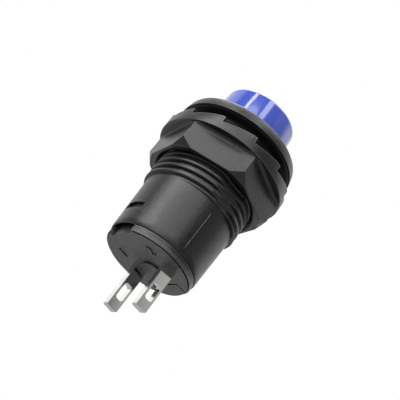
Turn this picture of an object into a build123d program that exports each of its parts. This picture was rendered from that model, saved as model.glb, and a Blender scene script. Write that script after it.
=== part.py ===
from build123d import *
import os
from math import cos, pi, radians, sin, tan

# A momentary pushbutton switch for a 12 mm panel hole.
# Millimetres. +Z runs along the axis towards the button. The origin is on the axis, in the plane of the
# flange's underside, where the panel sits. +X runs from the left terminal to the right one.
# Every depth is counted from that plane towards the terminals.

# Barrel and flange
barrel_r = 5.9
barrel_length = 9.45
relief_depth = 0.28
flange_r = 7.25
flange_thickness = 1.25
flange_draft = 0.22
bezel_height = 2.0
bezel_land = 0.55
rim_chamfer = 0.25
seat_r = 6.9
seat_relief = 0.06

# Rear shell
shell_front_r = 5.55
shell_rear_r = 5.33
shell_depth = 16.18
shell_wall = 0.78
window_width = 3.1
window_height = 0.85
window_above_rim = 1.95
guide_rib_width = 1.0
guide_rib_height = 0.5
guide_rib_length = 8.0

# Button cap
cap_r = 4.6
cap_top_r = 4.42
cap_height = 5.95
cap_roof = 1.2
crown_r = 0.4
crown_runs = 3
skirt_depth = 0.4
travel = 2.0

# Plunger
head_r = 3.2
head_core_r = 2.2
head_core_depth = 4.0
web_thickness = 1.0
collar_thickness = 1.2
boss_r = 2.3
boss_length = 2.9
stem_r = 1.5
stem_flat = 1.25
barb_reach = 0.45
barb_width = 1.2
barb_height = 0.45
spring_well_above = 0.7

# Contacts
contact_travel = 1.4
contact_x = 2.2
contact_r = 0.5
contact_head = 0.42
shank_r = 0.3
bridge_thickness = 0.4
bridge_width = 1.8
bridge_end = 0.75
bridge_disc_r = 2.15

# Terminals
blade_pitch = 5.3
blade_offset = 0.15
blade_y = 0.9
blade_width = 1.5
blade_thickness = 0.8
blade_reach = 5.38
blade_corner = 0.12
eyelet_width = 0.98
eyelet_length = 2.08
eyelet_cut = 0.2
eyelet_from_tip = 1.2
tab_inner_x = 1.65
tab_front_y = 0.9

# Rear cover
cover_r = 5.2
cover_height = 0.99
cover_seat_r = 5.08
shadow_gap = 0.08
face_groove_width = 0.1
face_groove_depth = 0.35
face_proud = 0.13
plug_height = 1.3
rim_notch_angle = 46.0
pry_slot_depth = 0.7
pry_slot_skin = 0.22
pocket_depth = 0.42
pocket_groove_width = 0.15
pocket_groove_depth = 0.3
pocket_half_width = 2.15
pocket_half_mouth = 2.7
pocket_start_y = 3.05
centre_boss_r = 1.35
centre_boss_y = 1.0
centre_boss_height = 0.2
hook_width = 2.8
hook_thickness = 0.75
hook_reach = 0.5
spring_post_r = 0.5
spring_post_height = 1.2

# Springs
return_coil_r = 0.82
return_wire = 0.22
return_turns = 9
contact_coil_r = 1.86
contact_wire = 0.28
contact_turns = 4
coil_runs = 10

# Panel nut
nut_across_flats = 13.2
nut_collar_r = 7.82
nut_rear_depth = 6.35
nut_chamfer_drop = 0.95
nut_chamfer_angle = 34.5
nut_shoulder_depth = 3.1
nut_front_depth = 2.18
nut_flat_fillet = 0.45
nut_angle = -9.3
nut_bore_chamfer = 0.35
tooth_count = 12
tooth_height = 0.7
tooth_ring_width = 0.78
tooth_land = 0.1
tooth_lead = 21.7

# Clearances, each measured on a radius or between two faces
slide_clearance = 0.05
thread_clearance = 0.06
plug_clearance = 0.04
sheet_clearance = 0.02
shank_clearance = 0.01
rib_clearance = 0.1
stop_clearance = 0.15
contact_clearance = 0.02
hook_clearance = 0.06
well_clearance = 0.1

# Worked out from the sizes above
cavity_r = shell_rear_r - shell_wall
cap_bore_r = cap_r + slide_clearance
web_bore_r = head_r + slide_clearance
web_top = -(skirt_depth + travel + stop_clearance)
web_bottom = web_top - web_thickness
collar_bottom = web_bottom - collar_thickness
boss_bottom = collar_bottom - boss_length
shell_end = -shell_depth
cover_inside = shell_end + plug_height
cover_face = shell_end - cover_height
tab_top = cover_inside + blade_thickness
fixed_top = tab_top + contact_head
bridge_bottom = fixed_top + contact_clearance + contact_travel + contact_head
bridge_top = bridge_bottom + bridge_thickness
stem_end = bridge_bottom - barb_height
stem_bore_r = return_coil_r + return_wire / 2 + well_clearance
well_top = boss_bottom + spring_well_above
window_top = shell_end + window_above_rim + window_height
nut_bore_r = barrel_r + thread_clearance


def disc(radius, low, high):
    """A round solid on the axis between two heights."""
    return Pos(0, 0, low) * extrude(Circle(radius), high - low)


def ring(outer, inner, low, high):
    """A tube on the axis between two heights."""
    return disc(outer, low, high) - disc(inner, low, high)


def turned(*points):
    """A solid of revolution about the axis from its half section of (radius, height) points."""
    section = Polyline(*points, close=True)
    return revolve(Plane.XZ * make_face(section), Axis.Z)


def block(x0, x1, y0, y1, z0, z1):
    """A rectangular solid between six faces."""
    return Pos(x0, y0, z0) * Box(x1 - x0, y1 - y0, z1 - z0, align=(Align.MIN, Align.MIN, Align.MIN))


def flange():
    """The flange: a drafted rim, a low cone up to the land round the button, and a flat seat below."""
    front_r = flange_r - flange_draft
    land_r = cap_bore_r + bezel_land
    body = turned(
        (0, 0),
        (seat_r, 0),
        (seat_r + seat_relief, seat_relief),
        (flange_r, seat_relief),
        (front_r, flange_thickness),
        (land_r, bezel_height),
        (0, bezel_height),
    )
    circles = body.edges().filter_by(GeomType.CIRCLE)
    rim = circles.filter_by_position(Axis.Z, flange_thickness, flange_thickness)
    return chamfer(rim, rim_chamfer)


def barrel():
    """The threaded barrel at its full thread diameter, with the two flats left by the mould."""
    body = disc(barrel_r, -barrel_length, 0)
    flat_x = barrel_r - relief_depth
    relief = block(flat_x, barrel_r + 1, -barrel_r, barrel_r, -barrel_length, 0)
    return body - relief - mirror(relief, Plane.YZ)


def shell():
    """The tapered rear shell that holds the contacts."""
    return turned(
        (0, -barrel_length),
        (shell_front_r, -barrel_length),
        (shell_rear_r, shell_end),
        (0, shell_end),
    )


def snap_window():
    """The window in the +Y wall of the shell that takes a hook of the cover."""
    half = window_width / 2
    return block(-half, half, 0, shell_front_r + 1, window_top - window_height, window_top)


def pry_slot():
    """The slot inside the rim of the shell, over the cover's notch, where a blade can lift the cover out."""
    half = radians(rim_notch_angle / 2)
    reach = 2 * shell_rear_r
    left = (-reach * sin(half), -reach * cos(half))
    right = (reach * sin(half), -reach * cos(half))
    wedge = make_face(Polyline((0, 0), left, right, close=True))
    sector = Pos(0, 0, shell_end) * extrude(wedge, pry_slot_depth)
    return sector & disc(shell_rear_r - pry_slot_skin, shell_end, shell_end + pry_slot_depth)


def guide_rib():
    """The rib in the +X side of the cavity that keeps the plunger from turning."""
    half = guide_rib_width / 2
    rib_end = web_bottom - guide_rib_length
    inner_x = cavity_r - guide_rib_height
    return block(inner_x, cavity_r + shell_wall / 2, -half, half, rib_end, web_bottom)


def housing():
    """Flange, barrel and shell in one moulding: bored for the cap, webbed as a stop, and hollow behind."""
    body = flange() + barrel() + shell()
    body -= disc(cap_bore_r, web_top, bezel_height)
    body -= disc(web_bore_r, web_bottom, web_top)
    body -= disc(cavity_r, shell_end, web_bottom)
    window = snap_window()
    body -= window + mirror(window, Plane.XZ)
    body -= pry_slot()
    rib = guide_rib()
    return body + rib + mirror(rib, Plane.YZ)


def nut_blank():
    """The round blank: the chamfered part for the hexagon, the wider collar and its raised rim for teeth."""
    rear = -nut_rear_depth
    corner_r = nut_across_flats / 2 / cos(radians(30))
    chamfer_run = nut_chamfer_drop * tan(radians(nut_chamfer_angle))
    return turned(
        (nut_bore_r, rear + nut_bore_chamfer),
        (nut_bore_r + nut_bore_chamfer, rear),
        (corner_r - chamfer_run, rear),
        (corner_r, rear + nut_chamfer_drop),
        (corner_r, -nut_shoulder_depth),
        (nut_collar_r, -nut_shoulder_depth),
        (nut_collar_r, -nut_front_depth + tooth_height),
        (nut_collar_r - tooth_ring_width, -nut_front_depth + tooth_height),
        (nut_collar_r - tooth_ring_width, -nut_front_depth),
        (nut_bore_r, -nut_front_depth),
    )


def flat_cutter():
    """What is missing on one side of the blank: a flat that runs out in a hollow under the collar."""
    flat_x = nut_across_flats / 2
    cutter = block(flat_x, flat_x + 5, -8, 8, -nut_rear_depth - 1, -nut_shoulder_depth)
    runout = cutter.edges().filter_by(Axis.Y).sort_by_distance((flat_x, 0, -nut_shoulder_depth))[0]
    return Rot(0, 0, 30) * fillet(runout, nut_flat_fillet)


def gullet():
    """The gap behind one saw tooth: a straight drop, then a ramp up to the land of the next tooth."""
    pitch = 360 / tooth_count
    climb = radians(pitch * (1 - tooth_land))
    valley = -nut_front_depth
    crest = -nut_front_depth + tooth_height

    def section(radius):
        foot = (radius, 0, valley)
        top = (radius, 0, crest)
        land = (radius * cos(climb), radius * sin(climb), crest)
        return make_face(Polyline(foot, top, land, close=True))

    inner_r = nut_collar_r - tooth_ring_width
    return loft([section(inner_r - 0.5), section(nut_collar_r + 0.5)], ruled=True)


def panel_nut():
    """The hexagon nut: six flats, a round collar, and a ring of saw teeth that bite the panel's back."""
    body = nut_blank()
    cutter = flat_cutter()
    for side in range(6):
        body -= Rot(0, 0, 60 * side) * cutter
    gap = gullet()
    for i in range(tooth_count):
        body -= Rot(0, 0, tooth_lead + i * 360 / tooth_count) * gap
    return Rot(0, 0, nut_angle) * body


def button_cap():
    """The hollow cap: a straight skirt in the bezel, a tapered and rounded crown, and a plunger bore."""
    outline = [(0, -skirt_depth), (cap_r, -skirt_depth), (cap_r, bezel_height)]
    for i in range(crown_runs + 1):
        angle = pi / 2 * i / crown_runs
        x = cap_top_r - crown_r + crown_r * cos(angle)
        outline.append((x, cap_height - crown_r + crown_r * sin(angle)))
    body = turned(*outline, (0, cap_height))
    return body - disc(web_bore_r, -skirt_depth, cap_height - cap_roof)


def plunger_stem():
    """The hollow stem with two flats for the bridge, and a barb on each open side that holds it on."""
    stem = disc(stem_r, stem_end, boss_bottom)
    flat = block(stem_flat, stem_r + 1, -stem_r, stem_r, stem_end, boss_bottom)
    stem -= flat + mirror(flat, Plane.YZ)
    half = barb_width / 2
    barb_y = stem_r + barb_reach
    barb = block(-half, half, -barb_y, barb_y, stem_end, bridge_bottom)
    return stem + barb


def plunger():
    """The slider: a head in the cap, a collar under the web, a boss for the contact spring, and the stem."""
    head_top = cap_height - cap_roof
    body = disc(head_r, web_bottom, head_top)
    body -= disc(head_core_r, head_top - head_core_depth, head_top)
    collar_r = cavity_r - rib_clearance
    body += disc(collar_r, collar_bottom, web_bottom)
    key_x = cavity_r - guide_rib_height - rib_clearance
    half = guide_rib_width / 2 + rib_clearance
    key = block(key_x, cavity_r, -half, half, collar_bottom, web_bottom)
    body -= key + mirror(key, Plane.YZ)
    body += disc(boss_r, boss_bottom, collar_bottom)
    body += plunger_stem()
    return body - disc(stem_bore_r, stem_end, well_top)


def coil(coil_r, wire, turns, low, high):
    """A compression spring between two seats, half a wire clear inside them, bent in short straight runs."""
    runs = turns * coil_runs
    height = high - low - 2 * wire
    points = []
    for i in range(runs + 1):
        angle = 2 * pi * i / coil_runs
        points.append((coil_r * cos(angle), coil_r * sin(angle), low + wire + height * i / runs))
    path = Polyline(*points)
    start = Plane(origin=path @ 0, z_dir=path % 0)
    return sweep(start * RegularPolygon(wire / 2, 6), path, transition=Transition.RIGHT)


def return_spring():
    """The spring from the cover's inner face up into the plunger's stem."""
    return coil(return_coil_r, return_wire, return_turns, cover_inside, well_top)


def contact_spring():
    """The spring round the stem, between the plunger's boss and the bridge."""
    return coil(contact_coil_r, contact_wire, contact_turns, bridge_top, boss_bottom)


def contact_bridge():
    """The moving strip: a washer that slides on the stem, with an arm and a rivet hole to each side."""
    end_x = contact_x + bridge_end
    half = bridge_width / 2
    body = disc(bridge_disc_r, bridge_bottom, bridge_top)
    arms = block(-end_x, end_x, -half, half, bridge_bottom, bridge_top)
    body += fillet(arms.edges().filter_by(Axis.Z), half / 2)
    hole = disc(stem_r + slide_clearance, bridge_bottom, bridge_top)
    flat_x = stem_flat + slide_clearance
    hole &= block(-flat_x, flat_x, -stem_r - 1, stem_r + 1, bridge_bottom, bridge_top)
    body -= hole
    for x in (-contact_x, contact_x):
        body -= Pos(x, 0, 0) * disc(shank_r + shank_clearance, bridge_bottom, bridge_top)
    return body


def rivet(x, face, shank_depth, direction):
    """A contact rivet at x on the plane at height face: its head on one side and its shank on the other."""
    head = turned(
        (0, 0),
        (contact_r, 0),
        (contact_r, contact_head * 0.6),
        (contact_r * 0.7, contact_head),
        (0, contact_head),
    )
    whole = head + disc(shank_r, -shank_depth, 0)
    if direction < 0:
        whole = Rot(180, 0, 0) * whole
    return Pos(x, 0, face) * whole


def bridge_contact(side):
    """The rivet in one arm of the bridge, its head towards the terminals."""
    return rivet(side * contact_x, bridge_bottom, bridge_thickness, -1)


def fixed_contact(side):
    """The rivet in one terminal's inner tab, its head towards the bridge."""
    return rivet(side * contact_x, tab_top, blade_thickness, 1)


def eyelet():
    """The long wire hole of a blade, with its corners cut off, as seen along X."""
    half_w = eyelet_width / 2
    half_l = eyelet_length / 2
    points = [
        (-half_w, -half_l + eyelet_cut),
        (-half_w + eyelet_cut, -half_l),
        (half_w - eyelet_cut, -half_l),
        (half_w, -half_l + eyelet_cut),
        (half_w, half_l - eyelet_cut),
        (half_w - eyelet_cut, half_l),
        (-half_w + eyelet_cut, half_l),
        (-half_w, half_l - eyelet_cut),
    ]
    return make_face(Polyline(*points, close=True))


def terminal(side):
    """A solder blade that passes through the cover and folds inwards as the tab for its fixed contact."""
    tip = cover_face - blade_reach
    blade_x = blade_pitch / 2 + side * blade_offset
    outer_x = blade_x + blade_thickness / 2
    low_y = blade_y - blade_width / 2
    high_y = blade_y + blade_width / 2
    blade = block(outer_x - blade_thickness, outer_x, low_y, high_y, tip, tab_top)
    tip_edges = blade.edges().filter_by(Axis.X).group_by(Axis.Z)[0]
    blade = chamfer(tip_edges, min(blade_corner, blade_width / 4))
    hole = Plane.YZ * Pos(blade_y, tip + eyelet_from_tip + eyelet_length / 2) * eyelet()
    blade -= Pos(blade_x - blade_thickness, 0, 0) * extrude(hole, 2 * blade_thickness)
    tab = block(tab_inner_x, outer_x, -tab_front_y, high_y, cover_inside, tab_top)
    body = blade + tab
    fold = body.edges().filter_by(Axis.Y).sort_by_distance((outer_x, 0, tab_top))[0]
    body = fillet(fold, blade_thickness / 2)
    body -= Pos(contact_x, 0, 0) * disc(shank_r + shank_clearance, cover_inside, tab_top)
    return body if side > 0 else mirror(body, Plane.YZ)


def cover_plate():
    """The cover's round plate: its edge stands behind the shell, and a fine groove frames its face."""
    edge_end = cover_face + face_proud
    groove_r = cover_r - face_groove_width
    plate = disc(cover_r, edge_end, shell_end - shadow_gap)
    plate += disc(cover_seat_r, shell_end - shadow_gap, shell_end)
    plate -= ring(groove_r, groove_r - face_groove_width, edge_end, edge_end + face_groove_depth)
    face_r = groove_r - face_groove_width
    plate += disc(face_r, cover_face, edge_end)
    return plate + disc(cavity_r - plug_clearance, shell_end, cover_inside)


def rim_notch():
    """The piece cut from the plate's edge on the -Y side, down to the shell's bore."""
    half = radians(rim_notch_angle / 2)
    reach = 2 * cover_r
    left = (-reach * sin(half), -reach * cos(half))
    right = (reach * sin(half), -reach * cos(half))
    wedge = make_face(Polyline((0, 0), left, right, close=True))
    sector = Pos(0, 0, cover_face) * extrude(wedge, cover_height)
    return sector & ring(cover_r + 1, cavity_r + plug_clearance, cover_face, shell_end)


def rim_pocket():
    """The shallow pocket in the face on the +Y side, open at the edge, with a groove along its foot."""
    outline = Polyline(
        (-pocket_half_width, pocket_start_y),
        (pocket_half_width, pocket_start_y),
        (pocket_half_mouth, cover_r + 1),
        (-pocket_half_mouth, cover_r + 1),
        close=True,
    )
    whole = make_face(outline)
    floor = offset(whole, -pocket_groove_width)
    cut = Pos(0, 0, cover_face) * extrude(whole, pocket_depth + pocket_groove_depth)
    return cut - Pos(0, 0, cover_face + pocket_depth) * extrude(floor, pocket_groove_depth)


def snap_hook():
    """A hook on the +Y side of the plug, with its barb in the shell's window."""
    half = hook_width / 2
    outer_y = cavity_r - hook_clearance
    top = window_top - hook_clearance
    arm = block(-half, half, outer_y - hook_thickness, outer_y, cover_inside, top)
    arm &= disc(cavity_r - plug_clearance, cover_inside, top)
    barb_low = window_top - window_height + hook_clearance
    barb = block(-half, half, outer_y - hook_thickness / 2, cavity_r + hook_reach, barb_low, top)
    barb &= disc(cavity_r + hook_reach, barb_low, top)
    return arm + barb


def blade_slot(side):
    """The slot in the cover that a blade is pushed through."""
    x = side * blade_pitch / 2 + blade_offset
    half_x = blade_thickness / 2 + sheet_clearance
    half_y = blade_width / 2 + sheet_clearance
    return block(x - half_x, x + half_x, blade_y - half_y, blade_y + half_y, cover_face, cover_inside)


def rear_cover():
    """The terminal base: plate and plug, notched and pocketed edge, boss, spring post and two snap hooks."""
    body = cover_plate() - rim_notch() - rim_pocket()
    boss = disc(centre_boss_r, cover_face - centre_boss_height, cover_face)
    body += Pos(0, centre_boss_y, 0) * boss
    body += disc(spring_post_r, cover_inside, cover_inside + spring_post_height)
    hook = snap_hook()
    body += hook + mirror(hook, Plane.XZ)
    return body - blade_slot(-1) - blade_slot(1)


nodes = {
    "housing": housing(),
    "panel_nut": panel_nut(),
    "button_cap": button_cap(),
    "plunger": plunger(),
    "return_spring": return_spring(),
    "contact_spring": contact_spring(),
    "contact_bridge": contact_bridge(),
    "bridge_contact_left": bridge_contact(-1),
    "bridge_contact_right": bridge_contact(1),
    "fixed_contact_left": fixed_contact(-1),
    "fixed_contact_right": fixed_contact(1),
    "terminal_left": terminal(-1),
    "terminal_right": terminal(1),
    "rear_cover": rear_cover(),
}

os.makedirs("parts", exist_ok=True)
for name, shape in nodes.items():
    export_step(shape, "parts/" + name + ".step")
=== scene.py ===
import bpy
import bmesh
from math import atan, cos, degrees, pi, radians, sin, sqrt, tan
from mathutils import Matrix, Vector


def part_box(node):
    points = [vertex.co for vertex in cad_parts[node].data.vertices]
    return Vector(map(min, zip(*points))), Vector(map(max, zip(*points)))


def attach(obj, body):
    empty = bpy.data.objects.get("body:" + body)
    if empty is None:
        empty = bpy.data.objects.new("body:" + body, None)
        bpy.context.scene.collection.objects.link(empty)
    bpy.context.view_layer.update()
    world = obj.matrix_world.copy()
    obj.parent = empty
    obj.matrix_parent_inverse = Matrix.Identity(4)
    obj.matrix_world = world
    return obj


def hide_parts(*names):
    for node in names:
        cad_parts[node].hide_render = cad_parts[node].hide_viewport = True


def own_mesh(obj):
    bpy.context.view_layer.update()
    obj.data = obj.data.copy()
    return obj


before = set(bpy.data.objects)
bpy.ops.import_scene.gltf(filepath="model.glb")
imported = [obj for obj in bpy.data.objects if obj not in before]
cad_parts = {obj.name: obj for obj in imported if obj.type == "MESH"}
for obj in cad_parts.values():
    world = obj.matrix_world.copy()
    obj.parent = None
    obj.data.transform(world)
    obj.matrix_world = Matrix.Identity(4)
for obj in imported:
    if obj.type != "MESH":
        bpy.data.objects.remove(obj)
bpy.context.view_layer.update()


# ---------------------------------------------------------------------------------------------
# Housing. One moulding in black glass-filled nylon: flange, threaded barrel and rear shell. The
# halves of the mould met at a flat on each side of the thread, and left a fine witness line down
# each side of the shell. Every other piece is put into the housing or screwed onto it.

mm = 0.001

# Bezel and flange. Heights are counted from the flange's underside, which sits on the panel.
bezel_top_z = 2.0
cap_bore_r = 4.65
flange_r = 7.24
seat_r = 6.9
neck_r = 5.6
web_bore_r = 3.25
web_top_z = -2.55
web_bottom_z = -3.55

# Threaded barrel.
barrel_r = 5.9
root_r = 5.5
pitch = 0.87
first_crest_z = -0.98
thread_high_z = -0.15
thread_low_z = -9.45
thread_fade = 0.25
mould_flat_x = 5.62
mould_flat_half_angle = radians(15.2)
mould_flat_fill = 0.07

# Rear shell, with a window on each side for the cover's hooks and a slot to pry the cover out.
shell_end_z = -16.18
shell_front_r = 5.55
shell_rear_r = 5.33
shell_wall = 0.78
cavity_r = shell_rear_r - shell_wall
broken_edge = 0.05
witness_angles = (-4.0, 176.0)
witness_height = 0.035
witness_top_z = -10.6
witness_end_z = -15.4
window_centres = (90.0, -90.0, 270.0)
window_half_angle = 16.5
window_slant = 0.9
window_bottom_z = shell_end_z + 1.95
window_top_z = window_bottom_z + 0.85
pry_half_angle = 23.0
pry_r = shell_rear_r - 0.22
pry_z = shell_end_z + 0.7


def laid_out(name, data):
    """Puts a mesh, curve, lamp or camera in the scene as an object of its own."""
    piece = bpy.data.objects.new(name, data)
    bpy.context.scene.collection.objects.link(piece)
    return piece


def shape_from_rows(name, rows, skip=()):
    """A mesh from rings of points in millimetres: each ring joins the next, and the last the first."""
    count = len(rows[0])
    points = [(x * mm, y * mm, z * mm) for row in rows for x, y, z in row]
    faces = []
    for i in range(len(rows)):
        here = i * count
        below = (i + 1) % len(rows) * count
        for j in range(count - 1):
            if (i, j) not in skip:
                faces.append((here + j, below + j, below + j + 1, here + j + 1))
    mesh = bpy.data.meshes.new(name)
    mesh.from_pydata(points, [], faces)
    return laid_out(name, mesh)


def close_seams(piece, sharp_angle):
    """Joins points that lie on each other, turns the faces outwards and keeps sharp edges crisp."""
    shell = bmesh.new()
    shell.from_mesh(piece.data)
    bmesh.ops.remove_doubles(shell, verts=shell.verts, dist=2e-7)
    bmesh.ops.dissolve_degenerate(shell, dist=1e-7, edges=shell.edges)
    bmesh.ops.recalc_face_normals(shell, faces=shell.faces)
    for face in shell.faces:
        face.smooth = True
    shell.to_mesh(piece.data)
    shell.free()
    piece.data.set_sharp_from_angle(angle=radians(sharp_angle))


def ring_point(r, angle, z):
    """A point in millimetres, from a radius, an angle in degrees and a height."""
    return r * cos(radians(angle)), r * sin(radians(angle)), z


# Points stand 1.5 degrees apart round the housing, and closer across the witness lines and at
# the ends of the pry slot.
column_angle = 1.5
ring_angles = [-90.0 + column_angle * i for i in range(int(360 / column_angle) + 1)]
for centre in witness_angles:
    ring_angles += [centre + offset for offset in (-0.55, -0.35, -0.1, 0.1, 0.35)]
for edge in (pry_half_angle, pry_half_angle + 0.3):
    ring_angles += [-90.0 + edge, 270.0 - edge]
ring_angles = sorted(set(round(angle, 3) for angle in ring_angles))


def level_ring(r, z):
    """A round ring of the housing."""
    return [ring_point(r, angle, z) for angle in ring_angles]


def shell_ring(z, line_share):
    """A ring of the tapered shell, on which the witness lines stand a few hundredths proud."""
    taper = (thread_low_z - z) / (thread_low_z - shell_end_z)
    r = shell_front_r + (shell_rear_r - shell_front_r) * taper
    ring = []
    for angle in ring_angles:
        on_line = min(abs(angle - centre) for centre in witness_angles) < 0.2
        proud = witness_height * line_share if on_line else 0.0
        ring.append(ring_point(r + proud, angle, z))
    return ring


def cavity_ring(r, z):
    """A ring of the shell's inner wall, which stands back where the pry slot is."""
    ring = []
    for angle in ring_angles:
        in_slot = min(abs(angle + 90.0), abs(angle - 270.0)) < pry_half_angle + 0.01
        ring.append(ring_point(pry_r if in_slot else r, angle, z))
    return ring


def slant_windows(ring, turn):
    """Turns the points at the windows' ends away from their middles, so that the ends slant."""
    slanted = []
    for (x, y, z), angle in zip(ring, ring_angles):
        for centre in window_centres:
            if abs(abs(angle - centre) - window_half_angle) < 0.01:
                away = turn if angle > centre else -turn
                x, y, z = ring_point(sqrt(x * x + y * y), angle + away, z)
        slanted.append((x, y, z))
    return slanted


# The height of the thread at shares of its pitch: a rounded crest, a flank, the root and a flank.
thread_form = [(0.0, 0.95), (0.02, 0.99), (0.04, 1.0), (0.24, 1.0), (0.26, 0.99), (0.28, 0.95),
               (0.45, 0.04), (0.48, 0.0), (0.78, 0.0), (0.81, 0.04), (1.0, 0.95)]
thread_stretches = list(zip(thread_form, thread_form[1:]))
thread_steps = []
for (start, _), (end, _) in thread_stretches:
    thread_steps.append(start)
    if end - start > 0.1:
        thread_steps.append((start + end) / 2)


def thread_r(share):
    """The radius of the thread at a share of its pitch."""
    for (start, start_height), (end, end_height) in thread_stretches:
        if share <= end:
            height = start_height + (end_height - start_height) * (share - start) / (end - start)
            return root_r + (barrel_r - root_r) * height


def off_mould_flat(angle):
    """How far an angle is from the middle of the nearer mould flat, in radians."""
    return abs((angle + 90.0) % 180.0 - 90.0) * pi / 180


def thread_point(angle, turns, step):
    """A point of the thread, which climbs one pitch a turn and fades out under the flange."""
    climb = pitch * (angle + 90.0) / 360.0
    z = first_crest_z - pitch * (turns + step) + climb
    z = min(max(z, thread_low_z), thread_high_z)
    share = ((first_crest_z + climb - z) / pitch) % 1.0
    if share > 0.9999:
        share = 0.0
    full = min(1.0, (thread_high_z - z) / thread_fade)
    r = root_r + (thread_r(share) - root_r) * full
    off_flat = off_mould_flat(angle)
    filled = max(0.0, 1.0 - (off_flat / mould_flat_half_angle) ** 2)
    r = max(r, root_r + mould_flat_fill * filled)
    r = min(r, mould_flat_x / cos(off_flat))
    return ring_point(r, angle, z)


# From the cap's bore, over its rounded lip, the land and the sloping face, round the rim, and
# under the flange, whose edge stands back from the panel, to the neck above the thread.
flange_outline = [
    (cap_bore_r, web_top_z),
    (cap_bore_r, bezel_top_z - 0.14),
    (cap_bore_r + 0.05, bezel_top_z - 0.04),
    (cap_bore_r + 0.14, bezel_top_z),
    (4.98, bezel_top_z),
    (5.1, bezel_top_z - 0.015),
    (5.2, bezel_top_z - 0.05),
    (6.4, 1.52),
    (6.8, 1.36),
    (6.9, 1.3),
    (7.0, 1.2),
    (7.06, 1.08),
    (7.16, 0.6),
    (flange_r, 0.14),
    (flange_r, 0.1),
    (flange_r - 0.03, 0.06),
    (seat_r + 0.09, 0.06),
    (seat_r + 0.05, 0.04),
    (seat_r, 0.0),
    (6.2, 0.0),
    (neck_r + 0.12, 0.0),
    (neck_r, -0.12),
]
housing_rings = [level_ring(r, z) for r, z in flange_outline]

# The thread is drawn for more turns than fit, and thread_point holds it between its two ends.
for turns in range(-1, 12):
    for step in thread_steps:
        housing_rings.append([thread_point(angle, turns, step) for angle in ring_angles])

# Down the shell. The second value is how much of its height the witness line has there.
for z, line_share in (
    (thread_low_z, 0.0),
    (-9.8, 0.0),
    (witness_top_z, 0.0),
    (witness_top_z - 0.15, 1.0),
    (-12.1, 0.8),
    (-12.9, 1.0),
):
    housing_rings.append(shell_ring(z, line_share))
outer_window = len(housing_rings)
housing_rings.append(slant_windows(shell_ring(window_top_z, 0.9), -window_slant))
housing_rings.append(slant_windows(shell_ring(window_bottom_z, 0.7), window_slant))
for z, line_share in (
    (-14.9, 1.0),
    (witness_end_z, 1.0),
    (witness_end_z - 0.1, 0.0),
    (shell_end_z + 0.1, 0.0),
):
    housing_rings.append(shell_ring(z, line_share))

# Round the end of the shell, and back up inside to the web that the plunger slides in.
housing_rings.append(level_ring(shell_rear_r - broken_edge, shell_end_z))
housing_rings.append(cavity_ring(cavity_r + broken_edge, shell_end_z))
housing_rings.append(cavity_ring(cavity_r, shell_end_z + broken_edge))
housing_rings.append(cavity_ring(cavity_r, pry_z))
housing_rings.append(level_ring(cavity_r, pry_z))
inner_window = len(housing_rings)
housing_rings.append(slant_windows(level_ring(cavity_r, window_bottom_z), window_slant))
housing_rings.append(slant_windows(level_ring(cavity_r, window_top_z), -window_slant))
housing_rings.append(level_ring(cavity_r, web_bottom_z))
housing_rings.append(level_ring(web_bore_r, web_bottom_z))
housing_rings.append(level_ring(web_bore_r, web_top_z))


def in_window(column):
    """Whether the faces between two neighbouring angles lie in one of the windows."""
    middle = (ring_angles[column] + ring_angles[column + 1]) / 2
    return min(abs(middle - centre) for centre in window_centres) < window_half_angle


def wall_windows(piece):
    """Joins the outer and the inner rim of each window through the thickness of the shell."""
    shell = bmesh.new()
    shell.from_mesh(piece.data)
    shell.verts.ensure_lookup_table()

    def rims(column):
        """Points of the outer rim, top and bottom, then of the inner rim, bottom and top."""
        levels = (outer_window, outer_window + 1, inner_window, inner_window + 1)
        return [shell.verts[level * len(ring_angles) + column] for level in levels]

    for column in open_columns:
        outer_top, outer_low, inner_low, inner_top = rims(column)
        next_outer_top, next_outer_low, next_inner_low, next_inner_top = rims(column + 1)
        shell.faces.new((outer_top, next_outer_top, next_inner_top, inner_top))
        shell.faces.new((outer_low, inner_low, next_inner_low, next_outer_low))
        for edge, beside in ((column, column - 1), (column + 1, column + 1)):
            if beside not in open_columns and 0 <= beside < len(ring_angles) - 1:
                shell.faces.new(rims(edge))
    shell.to_mesh(piece.data)
    shell.free()


open_columns = [column for column in range(len(ring_angles) - 1) if in_window(column)]
openings = {(level, column) for level in (outer_window, inner_window) for column in open_columns}
housing = shape_from_rows("housing_moulding", housing_rings, skip=openings)
wall_windows(housing)
close_seams(housing, 28)


def blank_finish(name):
    """Starts a material: returns it with its nodes, its surface and the piece's own coordinates."""
    material = bpy.data.materials.new(name)
    material.use_nodes = True
    tree = material.node_tree
    place = tree.nodes.new("ShaderNodeTexCoord").outputs["Object"]
    return material, tree, tree.nodes["Principled BSDF"], place


def mottle(tree, place, scale, detail):
    """Noise over the surface, as an amount from 0 to 1."""
    noise = tree.nodes.new("ShaderNodeTexNoise")
    noise.inputs["Scale"].default_value = scale
    noise.inputs["Detail"].default_value = detail
    tree.links.new(place, noise.inputs["Vector"])
    return noise.outputs["Fac"]


def blend(tree, amount, low, low_colour, high, high_colour):
    """A colour that passes from the first to the second while the amount goes from low to high."""
    ramp = tree.nodes.new("ShaderNodeValToRGB")
    ramp.color_ramp.elements[0].position = low
    ramp.color_ramp.elements[0].color = (*low_colour, 1)
    ramp.color_ramp.elements[1].position = high
    ramp.color_ramp.elements[1].color = (*high_colour, 1)
    tree.links.new(amount, ramp.inputs["Fac"])
    return ramp.outputs["Color"]


def uneven_gloss(tree, skin, amount, smoothest, dullest):
    """Lets the roughness of the surface vary with the amount."""
    gloss = tree.nodes.new("ShaderNodeMapRange")
    gloss.inputs["To Min"].default_value = smoothest
    gloss.inputs["To Max"].default_value = dullest
    tree.links.new(amount, gloss.inputs["Value"])
    tree.links.new(gloss.outputs["Result"], skin.inputs["Roughness"])


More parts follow.
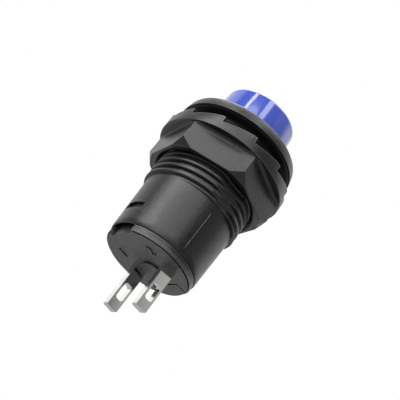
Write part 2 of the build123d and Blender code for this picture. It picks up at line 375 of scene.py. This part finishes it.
def fine_grain(tree, skin, amount, strength, depth):
    """Gives the surface a grain that is too fine for the mesh."""
    bump = tree.nodes.new("ShaderNodeBump")
    bump.inputs["Strength"].default_value = strength
    bump.inputs["Distance"].default_value = depth
    tree.links.new(amount, bump.inputs["Height"])
    tree.links.new(bump.outputs["Normal"], skin.inputs["Normal"])


def moulded_nylon(name, colour, roughness, grain, edge_highlight):
    """Black moulded nylon: speckled, slightly cloudy in its gloss, and paler at convex edges as a
    painted highlight.
    """
    material, tree, skin, place = blank_finish(name)
    skin.inputs["IOR"].default_value = 1.53
    speckle = mottle(tree, place, 5000.0, 3.0)
    dark = [channel * 0.2 for channel in colour]
    pale = [channel * 2.6 for channel in colour]
    tone = blend(tree, speckle, 0.3, dark, 0.7, pale)
    # Painted highlight: the colour is made paler along convex edges and thread crests, which are found
    # by occlusion traced inwards.
    near_edge = tree.nodes.new("ShaderNodeAmbientOcclusion")
    near_edge.inside = True
    near_edge.only_local = True
    near_edge.samples = 8
    near_edge.inputs["Distance"].default_value = 0.14 * mm
    painted_edge_highlight = blend(tree, near_edge.outputs["AO"], 0.7, (edge_highlight, edge_highlight, edge_highlight), 0.98, (0, 0, 0))
    add = tree.nodes.new("ShaderNodeMix")
    add.data_type = "RGBA"
    add.blend_type = "ADD"
    add.inputs["Factor"].default_value = 1.0
    tree.links.new(tone, add.inputs["A"])
    tree.links.new(painted_edge_highlight, add.inputs["B"])
    tree.links.new(add.outputs["Result"], skin.inputs["Base Color"])
    uneven_gloss(tree, skin, mottle(tree, place, 420.0, 2.0), roughness - 0.07, roughness + 0.09)
    fine_grain(tree, skin, speckle, grain, 0.06 * mm)
    return material


def put_on(piece, body, node, material):
    """Lets a mesh stand for its CAD node, ride on the body and take the material."""
    piece.data.materials.clear()
    piece.data.materials.append(material)
    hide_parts(node)
    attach(piece, body)


housing_nylon = moulded_nylon("black_nylon_housing", (0.005, 0.005, 0.0055), 0.34, 0.5, 0.03)
put_on(housing, "housing_body", "housing", housing_nylon)


# ---------------------------------------------------------------------------------------------
# Rear cover. The terminal base, moulded in the same nylon with a finer grain and snapped into
# the shell by two hooks. A tongue stands in the pocket at its rim, parted from it by a narrow
# gap, and a plain raised figure beside each blade numbers the terminals.

centre_boss_height = 0.2
cover_face_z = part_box("rear_cover")[0].z / mm + centre_boss_height
pocket_start_y = 3.05
pocket_half_width = 2.15
tongue_gap = 0.22
tongue_rim_r = 4.93
tongue_rim_half_width = 2.12
tongue_sunk = 0.03
tongue_depth = 0.5
figure_height = 1.25
type_size = figure_height * 1.4
figure_weight = 0.03
figure_relief = 0.12
figure_root = 0.05
figure_x = 2.5
figure_y = -1.75


def prism(name, outline, low_z, high_z):
    """A closed block over an outline of points in millimetres, between two levels."""
    count = len(outline)
    points = [(x * mm, y * mm, z * mm) for z in (low_z, high_z) for x, y in outline]
    faces = [tuple(reversed(range(count))), tuple(range(count, 2 * count))]
    for i in range(count):
        j = (i + 1) % count
        faces.append((i, j, count + j, count + i))
    mesh = bpy.data.meshes.new(name)
    mesh.from_pydata(points, [], faces)
    return laid_out(name, mesh)


def cover_tongue():
    """The tongue: straight towards the middle of the cover, and round at the rim."""
    inner_half_width = pocket_half_width - tongue_gap
    inner_y = pocket_start_y + tongue_gap
    rim_y = sqrt(tongue_rim_r ** 2 - tongue_rim_half_width ** 2)
    start = degrees(atan(rim_y / tongue_rim_half_width))
    outline = [(-inner_half_width, inner_y), (inner_half_width, inner_y)]
    for i in range(17):
        angle = radians(start + (180.0 - 2 * start) * i / 16)
        outline.append((tongue_rim_r * cos(angle), tongue_rim_r * sin(angle)))
    return prism("tongue", outline, cover_face_z + tongue_sunk, cover_face_z + tongue_depth)


def raised_figure(figure, x, y):
    """A plain figure that stands a little proud of the cover's face and reads from behind."""
    letters = bpy.data.curves.new("figure", "FONT")
    letters.body = figure
    letters.size = type_size * mm
    letters.align_x = "CENTER"
    letters.align_y = "CENTER"
    letters.extrude = (figure_relief + figure_root) / 2 * mm
    letters.offset = figure_weight * mm
    holder = laid_out("figure", letters)
    solid = bpy.data.meshes.new_from_object(holder)
    bpy.data.objects.remove(holder)
    middle = Vector((x, y, cover_face_z + (figure_root - figure_relief) / 2))
    solid.transform(Matrix.Translation(middle * mm) @ Matrix.Rotation(pi, 4, "X"))
    return laid_out("figure", solid)


def fuse(piece, others):
    """Joins closed solids into the piece, one after another, and removes them from the scene."""
    for other in others:
        union = piece.modifiers.new("union", "BOOLEAN")
        union.operation = "UNION"
        union.solver = "EXACT"
        union.object = other
        bpy.context.view_layer.update()
        joined = piece.evaluated_get(bpy.context.evaluated_depsgraph_get())
        whole = bpy.data.meshes.new_from_object(joined)
        piece.modifiers.clear()
        piece.data = whole
        bpy.data.objects.remove(other)


plain_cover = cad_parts["rear_cover"].data
cover_points = [point.co[:] for point in plain_cover.vertices]
cover_faces = [face.vertices[:] for face in plain_cover.polygons]
cover_mesh = bpy.data.meshes.new("rear_cover_moulding")
cover_mesh.from_pydata(cover_points, [], cover_faces)
cover = laid_out("rear_cover_moulding", cover_mesh)
close_seams(cover, 28)
left_figure = raised_figure("1", -figure_x, figure_y)
right_figure = raised_figure("2", figure_x, figure_y)
fuse(cover, [cover_tongue(), left_figure, right_figure])
close_seams(cover, 28)

cover_nylon = moulded_nylon("black_nylon_cover", (0.007, 0.007, 0.0075), 0.4, 0.6, 0.03)
put_on(cover, "housing_body", "rear_cover", cover_nylon)


# ---------------------------------------------------------------------------------------------
# Terminals. Two blades stamped from 0.8 mm brass strip and silver plated, each with a long
# eyelet for the wire. They are pushed through the cover and folded inside it to carry a contact.

blade_edge = 0.04


def bright_metal(name, colour, roughness, streaks):
    """Plated or drawn metal: faint drawing lines, and a tone and gloss that are slightly uneven."""
    material, tree, skin, place = blank_finish(name)
    skin.inputs["Metallic"].default_value = 1.0
    spots = mottle(tree, place, 900.0, 4.0)
    dulled = (colour[0] * 0.9, colour[1] * 0.89, colour[2] * 0.87)
    tree.links.new(blend(tree, spots, 0.32, dulled, 0.62, colour), skin.inputs["Base Color"])
    uneven_gloss(tree, skin, spots, roughness - 0.05, roughness + 0.06)
    stretch = tree.nodes.new("ShaderNodeMapping")
    stretch.inputs["Scale"].default_value = (1.0, 1.0, 0.06)
    tree.links.new(place, stretch.inputs["Vector"])
    lines = mottle(tree, stretch.outputs["Vector"], 7000.0, 2.0)
    fine_grain(tree, skin, lines, streaks, 0.01 * mm)
    return material


def dress(node, material, edge_width):
    """Gives a CAD piece its material and breaks its sharp edges by a few hundredths."""
    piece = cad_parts[node]
    piece.data.materials.clear()
    piece.data.materials.append(material)
    for face in piece.data.polygons:
        face.use_smooth = True
    piece.data.set_sharp_from_angle(angle=radians(28))
    if edge_width:
        edges = piece.modifiers.new("broken_edges", "BEVEL")
        edges.width = edge_width * mm
        edges.segments = 2
        edges.limit_method = "ANGLE"
        edges.angle_limit = radians(40)
        edges.harden_normals = True


silver_plate = bright_metal("silver_plated_brass", (0.93, 0.92, 0.9), 0.1, 0.03)
dress("terminal_left", silver_plate, blade_edge)
dress("terminal_right", silver_plate, blade_edge)


# ---------------------------------------------------------------------------------------------
# Contacts. Four silver-alloy rivets: two in the folded tabs of the terminals and two in the arms
# of the bridge. They meet when the button is down.

contact_silver = bright_metal("contact_silver", (0.84, 0.82, 0.78), 0.28, 0.1)
dress("fixed_contact_left", contact_silver, 0.0)
dress("fixed_contact_right", contact_silver, 0.0)
dress("bridge_contact_left", contact_silver, 0.0)
dress("bridge_contact_right", contact_silver, 0.0)


# ---------------------------------------------------------------------------------------------
# Contact bridge. A washer with an arm to each side, stamped from spring brass. It slides on the
# plunger's stem, whose two flats keep it from turning, and joins the two terminals.

bridge_edge = 0.03
bridge_brass = bright_metal("bridge_brass", (0.74, 0.53, 0.24), 0.26, 0.3)
dress("contact_bridge", bridge_brass, bridge_edge)


# ---------------------------------------------------------------------------------------------
# Plunger. The slider, moulded in natural white acetal. The cap is pressed over its head, and its
# stem carries the contact spring and the bridge.

plunger_edge = 0.04


def smooth_plastic(name, colour, roughness, coat):
    """Unfilled moulded plastic: an even colour, with a very fine ripple in its gloss."""
    material, tree, skin, place = blank_finish(name)
    skin.inputs["IOR"].default_value = 1.5
    skin.inputs["Coat Weight"].default_value = coat
    skin.inputs["Coat Roughness"].default_value = 0.06
    ripple = mottle(tree, place, 500.0, 3.0)
    deeper = (colour[0] * 0.93, colour[1] * 0.93, colour[2] * 0.95)
    tree.links.new(blend(tree, ripple, 0.3, deeper, 0.7, colour), skin.inputs["Base Color"])
    uneven_gloss(tree, skin, ripple, roughness - 0.02, roughness + 0.05)
    fine_grain(tree, skin, ripple, 0.06, 0.02 * mm)
    return material


white_acetal = smooth_plastic("white_acetal", (0.8, 0.79, 0.74), 0.4, 0.0)
dress("plunger", white_acetal, plunger_edge)


# ---------------------------------------------------------------------------------------------
# Springs. Two coils of drawn steel wire: one pushes the plunger back out, and one presses the
# bridge on the contacts. The end turns lie close together, and each coil is drawn at one length
# between its seats.

return_coil_r = 0.82
return_wire = 0.22
return_turns = 8
contact_coil_r = 1.86
contact_wire = 0.28
contact_turns = 3
points_a_turn = 40


def wound(name, coil_r, wire, turns, low, high):
    """A compression spring between two levels, with one closed turn at each end, as a mesh."""
    wire_curve = bpy.data.curves.new(name, "CURVE")
    wire_curve.dimensions = "3D"
    wire_curve.bevel_depth = wire / 2 * mm
    wire_curve.bevel_resolution = 3
    wire_curve.use_fill_caps = True
    line = wire_curve.splines.new("POLY")
    count = points_a_turn * (turns + 2)
    line.points.add(count)
    free_length = high - low - 3 * wire
    for i in range(count + 1):
        turn = i / points_a_turn
        z = low + wire / 2 + wire * min(turn, 1.0) + wire * max(0.0, turn - turns - 1)
        z += free_length * min(max(turn - 1, 0.0), turns) / turns
        x = coil_r * cos(2 * pi * turn)
        y = coil_r * sin(2 * pi * turn)
        line.points[i].co = (x * mm, y * mm, z * mm, 1)
    holder = laid_out(name, wire_curve)
    solid = bpy.data.meshes.new_from_object(holder)
    bpy.data.objects.remove(holder)
    for face in solid.polygons:
        face.use_smooth = True
    return laid_out(name, solid)


spring_steel = bright_metal("spring_steel", (0.56, 0.56, 0.57), 0.3, 0.1)

return_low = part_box("return_spring")[0].z / mm
return_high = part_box("return_spring")[1].z / mm
return_coil = wound("return_spring_coil", return_coil_r, return_wire, return_turns,
                    return_low, return_high)
put_on(return_coil, "housing_body", "return_spring", spring_steel)
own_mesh(return_coil)

# The bridge stops on the fixed contacts before the button is down, and this spring takes the rest.
contact_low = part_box("contact_spring")[0].z / mm
contact_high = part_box("contact_spring")[1].z / mm
contact_coil = wound("contact_spring_coil", contact_coil_r, contact_wire, contact_turns,
                     contact_low, contact_high)
put_on(contact_coil, "button_body", "contact_spring", spring_steel)
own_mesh(contact_coil)


# ---------------------------------------------------------------------------------------------
# Button cap. A hollow cup moulded in glossy blue plastic, with a straight skirt in the bezel and
# a tapered, rounded crown. It is pressed over the plunger's head and slides in the bezel.

cap_top_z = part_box("button_cap")[1].z / mm
cap_skirt_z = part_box("button_cap")[0].z / mm
cap_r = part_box("button_cap")[1].x / mm
cap_inner_r = 3.25
cap_taper = 0.18
cap_roof = 1.2
crown_round = 0.4
crown_steps = 8
cap_columns = 192

# Up the broken edge of the skirt and its straight side, up the taper and over the rounded crown.
cap_outline = [
    (cap_inner_r, cap_skirt_z),
    (cap_r - 0.06, cap_skirt_z),
    (cap_r, cap_skirt_z + 0.08),
    (cap_r, bezel_top_z),
]
for i in range(crown_steps + 1):
    turn = radians(90 * i / crown_steps)
    r = cap_r - cap_taper - crown_round + crown_round * cos(turn)
    cap_outline.append((r, cap_top_z - crown_round + crown_round * sin(turn)))
cap_outline += [(3.0, cap_top_z), (1.5, cap_top_z), (0.0, cap_top_z)]
top_centre = len(cap_outline) - 1
cap_outline += [(0.0, cap_top_z - cap_roof), (cap_inner_r, cap_top_z - cap_roof)]

# The outline meets the axis at the top and under the roof. No wall joins those two points.
cap_angles = [360.0 * i / cap_columns for i in range(cap_columns + 1)]
cap_rings = [[ring_point(r, angle, z) for angle in cap_angles] for r, z in cap_outline]
no_core = {(top_centre, column) for column in range(cap_columns)}
cap = shape_from_rows("button_cap_moulding", cap_rings, skip=no_core)
close_seams(cap, 40)

cap_blue = smooth_plastic("glossy_blue", (0.06, 0.098, 0.46), 0.12, 0.6)
put_on(cap, "button_body", "button_cap", cap_blue)


# ---------------------------------------------------------------------------------------------
# Panel nut. Moulded in black nylon: a hexagon with a chamfered back, a round collar, and twelve
# saw teeth that bite the back of the panel so that the nut cannot shake loose.

# The back face, its chamfer and the bore. The chamfer takes off the corners of the hexagon.
nut_back_z = -6.35
nut_back_r = 6.97
corner_r = 7.62
chamfer_drop = 0.95
chamfer_least_drop = 0.07
chamfer_least_width = 0.08
nut_bore_r = 5.96
nut_bore_chamfer = 0.35

# The hexagon, 13.2 across its flats, which run out into a round blank under the collar.
flat_distance = 13.2 / 2
flat_angle = 20.7
blank_r = 7.6
hexagon_edge_r = 0.12
runout_r = 0.45
shoulder_z = -3.1
collar_r = 7.815
moulded_edge = 0.06

# The teeth. Each starts with a drop to the valley, climbs along a ramp and ends in a short land.
tooth_count = 12
tooth_height = 0.7
tooth_ramp_angle = 27.0
tooth_drop_angle = 12.4
tooth_ring_r = 7.04
valley_z = -2.18
valley_step = 0.001

# Each tooth gets the same columns of points. The corners of the hexagon fall a little after the
# drop of every second tooth and are rounded, so the columns stand close together there.
tooth_angle = 360.0 / tooth_count
round_centre = (flat_distance - hexagon_edge_r) / cos(radians(30))
round_end = round_centre + hexagon_edge_r * cos(radians(30))
round_half_angle = degrees(atan(hexagon_edge_r / 2 / round_end))
corner_angle = flat_angle - tooth_drop_angle
tooth_columns = [column_angle * i for i in range(int(tooth_angle / column_angle) + 1)]
tooth_columns += [corner_angle + round_half_angle * share for share in (-1.0, -0.5, 0.0, 0.5, 1.0)]
tooth_columns.sort()


def off_nut_flat(angle):
    """How far an angle is from the middle of the nearest flat of the hexagon, in degrees."""
    return (angle - flat_angle + 30.0) % 60.0 - 30.0


def hexagon_r(angle):
    """How far the side of the hexagon lies from the axis at an angle, with its corners rounded."""
    off_flat = off_nut_flat(angle)
    off_corner = radians(30.0 - abs(off_flat))
    if degrees(off_corner) > round_half_angle:
        return flat_distance / cos(radians(off_flat))
    reach = sqrt(hexagon_edge_r ** 2 - (round_centre * sin(off_corner)) ** 2)
    return round_centre * cos(off_corner) + reach


def rounded(outline, radius):
    """The same closed outline with every corner turned into a small arc of four points."""
    soft = []
    for k, (r, z) in enumerate(outline):
        ends = []
        for r_next, z_next in (outline[k - 1], outline[(k + 1) % len(outline)]):
            length = sqrt((r_next - r) ** 2 + (z_next - z) ** 2)
            share = min(radius / max(length, 1e-6), 0.4)
            ends.append((r + (r_next - r) * share, z + (z_next - z) * share))
        (r_in, z_in), (r_out, z_out) = ends
        for t in (0.0, 1 / 3, 2 / 3, 1.0):
            a, b, c = (1 - t) ** 2, 2 * t * (1 - t), t ** 2
            soft.append((a * r_in + b * r + c * r_out, a * z_in + b * z + c * z_out))
    return soft


def nut_outline(angle, past_drop):
    """The section of the nut at an angle, from the bore's back edge round to its front edge."""
    side_r = hexagon_r(angle)
    rim_r = min(nut_back_r, side_r - chamfer_least_width)
    chamfer_slope = chamfer_drop / (corner_r - nut_back_r)
    drop = max(chamfer_least_drop, (side_r - nut_back_r) * chamfer_slope)
    outline = [
        (nut_bore_r, nut_back_z + nut_bore_chamfer),
        (nut_bore_r + nut_bore_chamfer, nut_back_z),
        (rim_r, nut_back_z),
        (side_r, nut_back_z + drop),
    ]
    # The flat runs out in a hollow under the collar, as far as the round blank goes.
    for k in range(6):
        turn = radians(18 * k)
        hollow = flat_distance + runout_r * (1 - cos(turn))
        hollow_r = hollow / cos(radians(off_nut_flat(angle)))
        r = min(max(hollow_r, side_r), blank_r)
        outline.append((r, shoulder_z - runout_r + runout_r * sin(turn)))
    # The step keeps two points of the section apart where a tooth starts at no height.
    tooth_z = valley_z + tooth_height * min(past_drop / tooth_ramp_angle, 1.0)
    outline += [
        (collar_r, shoulder_z),
        (collar_r, tooth_z),
        (tooth_ring_r, tooth_z),
        (tooth_ring_r, valley_z - valley_step),
        (nut_bore_r, valley_z),
    ]
    return rounded(outline, moulded_edge)


nut_sections = []
for tooth in range(tooth_count):
    for past_drop in tooth_columns:
        angle = tooth_drop_angle + tooth_angle * tooth + past_drop
        nut_sections.append((angle, nut_outline(angle, past_drop)))
last_angle = tooth_drop_angle + 360.0
nut_sections.append((last_angle, nut_outline(last_angle, 0.0)))
nut_rings = []
for k in range(len(nut_sections[0][1])):
    ring = []
    for angle, outline in nut_sections:
        r, z = outline[k]
        ring.append(ring_point(r, angle, z))
    nut_rings.append(ring)
nut = shape_from_rows("panel_nut_moulding", nut_rings)
close_seams(nut, 34)

nut_nylon = moulded_nylon("black_nylon_nut", (0.005, 0.005, 0.0055), 0.32, 0.5, 0.06)
put_on(nut, "nut_body", "panel_nut", nut_nylon)


# ---------------------------------------------------------------------------------------------
# Floor. A pale matt board well below the part, which keeps its shadow soft and faint. To the
# camera it looks halfway to white.

floor_reach = 2.4
floor_z = -0.25

floor_corners = [
    (-floor_reach, -floor_reach, floor_z),
    (floor_reach, -floor_reach, floor_z),
    (floor_reach, floor_reach, floor_z),
    (-floor_reach, floor_reach, floor_z),
]
floor_mesh = bpy.data.meshes.new("floor")
floor_mesh.from_pydata(floor_corners, [], [(0, 1, 2, 3)])
ground = laid_out("floor", floor_mesh)

floor_paint = bpy.data.materials.new("floor_paint")
floor_paint.use_nodes = True
paint = floor_paint.node_tree
matt = paint.nodes["Principled BSDF"]
matt.inputs["Base Color"].default_value = (0.85, 0.85, 0.85, 1)
matt.inputs["Roughness"].default_value = 0.9
white = paint.nodes.new("ShaderNodeEmission")
white.inputs["Color"].default_value = (1, 1, 1, 1)
paint_path = paint.nodes.new("ShaderNodeLightPath")
half = paint.nodes.new("ShaderNodeMath")
half.operation = "MULTIPLY"
half.inputs[1].default_value = 0.5
paint.links.new(paint_path.outputs["Is Camera Ray"], half.inputs[0])
paler = paint.nodes.new("ShaderNodeMixShader")
paint.links.new(half.outputs["Value"], paler.inputs["Fac"])
paint.links.new(matt.outputs["BSDF"], paler.inputs[1])
paint.links.new(white.outputs["Emission"], paler.inputs[2])
paint.links.new(paler.outputs["Shader"], paint.nodes["Material Output"].inputs["Surface"])
floor_mesh.materials.append(floor_paint)


# ---------------------------------------------------------------------------------------------
# Surround. A white backdrop behind the part that fades to a dim room at its sides and lightens a
# little towards the camera. The camera itself sees white all round, and glossy pieces mirror
# that white wherever they face the backdrop.

# The camera's own directions: to its right, up, and backwards from what it looks at.
right = Vector((0.61053783, 0.58228188, 0.53683459))
up = Vector((0.06947996, -0.71459846, 0.69607584))
back = Vector((0.78893352, -0.38768138, -0.47674631))

world = bpy.data.worlds.new("surround")
bpy.context.scene.world = world
world.use_nodes = True
tree = world.node_tree
aim = tree.nodes.new("ShaderNodeTexCoord")
toward_camera = tree.nodes.new("ShaderNodeVectorMath")
toward_camera.operation = "DOT_PRODUCT"
toward_camera.inputs[1].default_value = back
tree.links.new(aim.outputs["Generated"], toward_camera.inputs[0])

spread = tree.nodes.new("ShaderNodeMapRange")
spread.inputs["From Min"].default_value = -1.0
spread.inputs["From Max"].default_value = 1.0
tree.links.new(toward_camera.outputs["Value"], spread.inputs["Value"])
fade = tree.nodes.new("ShaderNodeValToRGB")
stops = fade.color_ramp.elements
stops[0].position = 0.2
stops[1].position = 1.0
for spot in (0.325, 0.45, 0.65):
    stops.new(spot)
for stop, level in zip(stops, (1.0, 0.11, 0.0, 0.1, 0.4)):
    stop.color = (level, level, level, 1)
tree.links.new(spread.outputs["Result"], fade.inputs["Fac"])
room = tree.nodes["Background"]
room.inputs["Strength"].default_value = 1.0
tree.links.new(fade.outputs["Color"], room.inputs["Color"])

backdrop = tree.nodes.new("ShaderNodeBackground")
backdrop.inputs["Color"].default_value = (1, 1, 1, 1)
backdrop.inputs["Strength"].default_value = 1.0
behind = tree.nodes.new("ShaderNodeMapRange")
behind.inputs["From Min"].default_value = -0.25
behind.inputs["From Max"].default_value = -0.4
tree.links.new(toward_camera.outputs["Value"], behind.inputs["Value"])


def combine(operation, first, second):
    """One step in working out where the backdrop shows."""
    step = tree.nodes.new("ShaderNodeMath")
    step.operation = operation
    tree.links.new(first, step.inputs[0])
    tree.links.new(second, step.inputs[1])
    return step.outputs["Value"]


path = tree.nodes.new("ShaderNodeLightPath")
mirrored = combine("MAXIMUM", path.outputs["Is Glossy Ray"], path.outputs["Is Transmission Ray"])
mirrored = combine("MULTIPLY", mirrored, behind.outputs["Result"])
mix = tree.nodes.new("ShaderNodeMixShader")
tree.links.new(combine("MAXIMUM", path.outputs["Is Camera Ray"], mirrored), mix.inputs["Fac"])
tree.links.new(room.outputs["Background"], mix.inputs[1])
tree.links.new(backdrop.outputs["Background"], mix.inputs[2])
tree.links.new(mix.outputs["Shader"], tree.nodes["World Output"].inputs["Surface"])


# ---------------------------------------------------------------------------------------------
# Lamps. Soft boxes that all hang at one distance from the middle of the part. The two narrow
# ones draw bright streaks on the glossy cap.

part_middle = Vector((0, 0, -0.008))
lamp_distance = 0.16


def lamp(name, turn, climb, wide, high, brightness):
    """A soft box aimed at the part, so many degrees to the camera's right and above it, and so
    many degrees wide and high as the part sees it."""
    toward = right * (sin(radians(turn)) * cos(radians(climb))) + up * sin(radians(climb))
    toward += back * (cos(radians(turn)) * cos(radians(climb)))
    light = bpy.data.lights.new(name, "AREA")
    light.shape = "RECTANGLE"
    light.size = 2 * lamp_distance * tan(radians(wide / 2))
    light.size_y = 2 * lamp_distance * tan(radians(high / 2))
    light.energy = brightness * pi * light.size * light.size_y
    box = laid_out(name, light)
    box.location = part_middle + toward * lamp_distance
    box.rotation_mode = "QUATERNION"
    box.rotation_quaternion = toward.to_track_quat("Z", "Y")


lamp("top", 18, 63, 26, 26, 3.6)
lamp("top_left", -62, 64, 26, 26, 4.2)
lamp("key", 37, 34, 26, 26, 2.6)
lamp("front", -8, 36, 26, 26, 3.2)
lamp("rear_top", 155, 55, 26, 26, 6.0)
lamp("rear_right", 112, 39, 26, 26, 3.6)
lamp("left_low", -100, -51, 26, 26, 3.0)
lamp("rim", 72, 50, 12, 26, 5.0)
lamp("right_low", 98, -6, 56, 44, 0.33)
lamp("strip", -30, 74, 7, 40, 9.0)


# ---------------------------------------------------------------------------------------------
# Camera. It stands behind the switch, on the side of the right terminal, and looks past the
# blades along the shell towards the button.

camera_place = Vector((90.184, -43.985, -61.763)) * mm
camera_data = bpy.data.cameras.new("camera")
camera_data.lens = 94.61
camera_data.sensor_width = 36.0
camera_data.clip_start = 0.005
camera_data.clip_end = 5.0
camera = laid_out("camera", camera_data)
pose = Matrix((right, up, back)).transposed().to_4x4()
camera.matrix_world = Matrix.Translation(camera_place) @ pose
bpy.context.scene.camera = camera

bpy.context.scene.view_settings.view_transform = "Standard"
